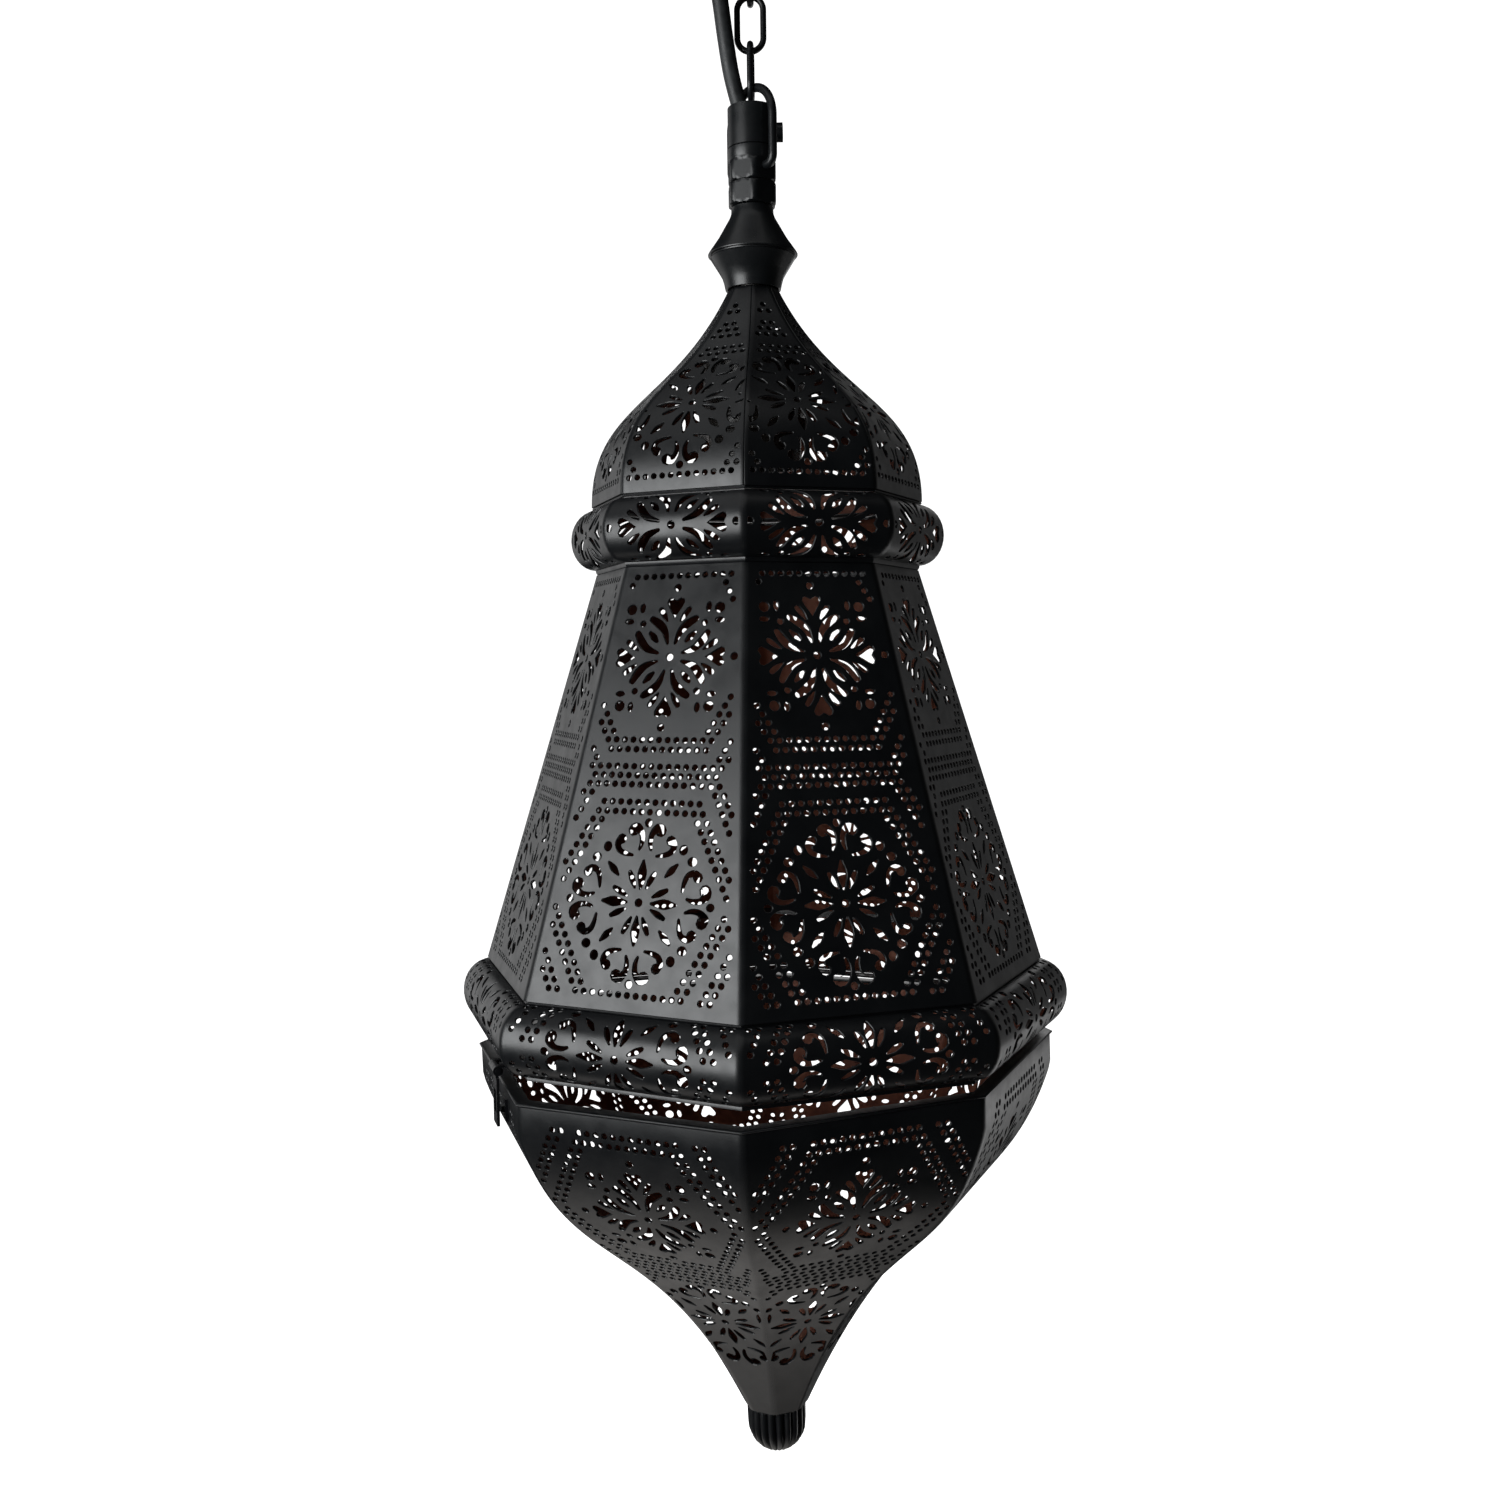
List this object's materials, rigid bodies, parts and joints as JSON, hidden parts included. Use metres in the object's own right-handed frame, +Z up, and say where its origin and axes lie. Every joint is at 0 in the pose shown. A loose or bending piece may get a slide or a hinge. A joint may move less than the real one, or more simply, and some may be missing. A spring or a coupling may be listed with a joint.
{
  "type": "hanging lantern",
  "caption": "Octagonal pierced-steel hanging lantern with domed top, half-round rings and a hinged ogee basket, on a short chain below a ceiling canopy.",
  "frame": {"origin": "middle of the canopy bracket's top face, against the ceiling, midway between its two screw holes", "axes": "+Z up into the ceiling, along the lantern's axis; one corner of the octagon faces -Y; the grip's screw faces +X"},
  "size_m": [0.2336, 0.2336, 0.6087],
  "materials": {
    "black_steel": "satin black paint outside, dark copper-brown inside",
    "black_fittings": "semi-gloss black enamel",
    "zinc_steel": "dull zinc plate",
    "bakelite": "moulded black",
    "porcelain": "off-white unglazed ceramic",
    "cord_sheath": "matt black flex"
  },
  "bodies": {
    "ceiling": {"ceiling_canopy": "black_steel", "canopy_bracket": "zinc_steel", "canopy_screws": "black_fittings", "canopy_eye": "black_fittings", "eye_nut": "zinc_steel", "cord_bush": "bakelite", "terminal_block": "porcelain"},
    "pendant": {"chain_link_1": "black_fittings", "chain_link_2": "black_fittings", "chain_link_3": "black_fittings", "hanger_bail": "black_fittings", "hanger_body": "black_fittings", "cord_grip": "black_fittings", "lock_nut": "black_fittings", "threaded_nipple": "zinc_steel", "collar": "black_fittings", "fixing_nut": "zinc_steel", "dome_panel_1": "black_steel", "dome_panel_2": "black_steel", "dome_panel_3": "black_steel", "dome_panel_4": "black_steel", "dome_panel_5": "black_steel", "dome_panel_6": "black_steel", "dome_panel_7": "black_steel", "dome_panel_8": "black_steel", "dome_rim": "black_steel", "upper_ring": "black_steel", "body_panel_1": "black_steel", "body_panel_2": "black_steel", "body_panel_3": "black_steel", "body_panel_4": "black_steel", "body_panel_5": "black_steel", "body_panel_6": "black_steel", "body_panel_7": "black_steel", "body_panel_8": "black_steel", "lower_ring": "black_steel", "lower_frame": "black_steel", "lampholder_cap": "bakelite", "lampholder_body": "bakelite", "lamp_contacts": "porcelain", "shade_ring": "bakelite", "hinge_leaf_upper": "black_steel", "hinge_pin": "zinc_steel", "latch_bracket": "black_steel", "cord": "cord_sheath"},
    "grip_screw": {"grip_screw": "black_fittings"},
    "latch": {"latch_strap": "black_steel"},
    "door": {"hinge_leaf_door": "black_steel", "latch_staple": "black_steel", "door_rim": "black_steel", "door_panel_1": "black_steel", "door_panel_2": "black_steel", "door_panel_3": "black_steel", "door_panel_4": "black_steel", "door_panel_5": "black_steel", "door_panel_6": "black_steel", "door_panel_7": "black_steel", "door_panel_8": "black_steel", "finial": "black_steel"}
  },
  "joints": [
    {"name": "pendant_swing", "type": "hinge", "parent": "ceiling", "child": "pendant", "pos_m": [0, 0, -0.0394], "axis": [1, 0, 0], "range_deg": [-12, 12], "deforming": ["cord"]},
    {"name": "door_hinge", "type": "hinge", "parent": "pendant", "child": "door", "pos_m": [0.09701, 0.04018, -0.4422], "axis": [0.3827, -0.9239, 0], "range_deg": [-1.7, 100]},
    {"name": "latch_hinge", "type": "hinge", "parent": "pendant", "child": "latch", "pos_m": [-0.09079, -0.05493, -0.4415], "axis": [-0.3827, 0.9239, 0], "range_deg": [-1, 85]},
    {"name": "grip_screw_travel", "type": "slide", "parent": "pendant", "child": "grip_screw", "axis": [1, 0, 0], "range_m": [0, 0.0025]}
  ]
}
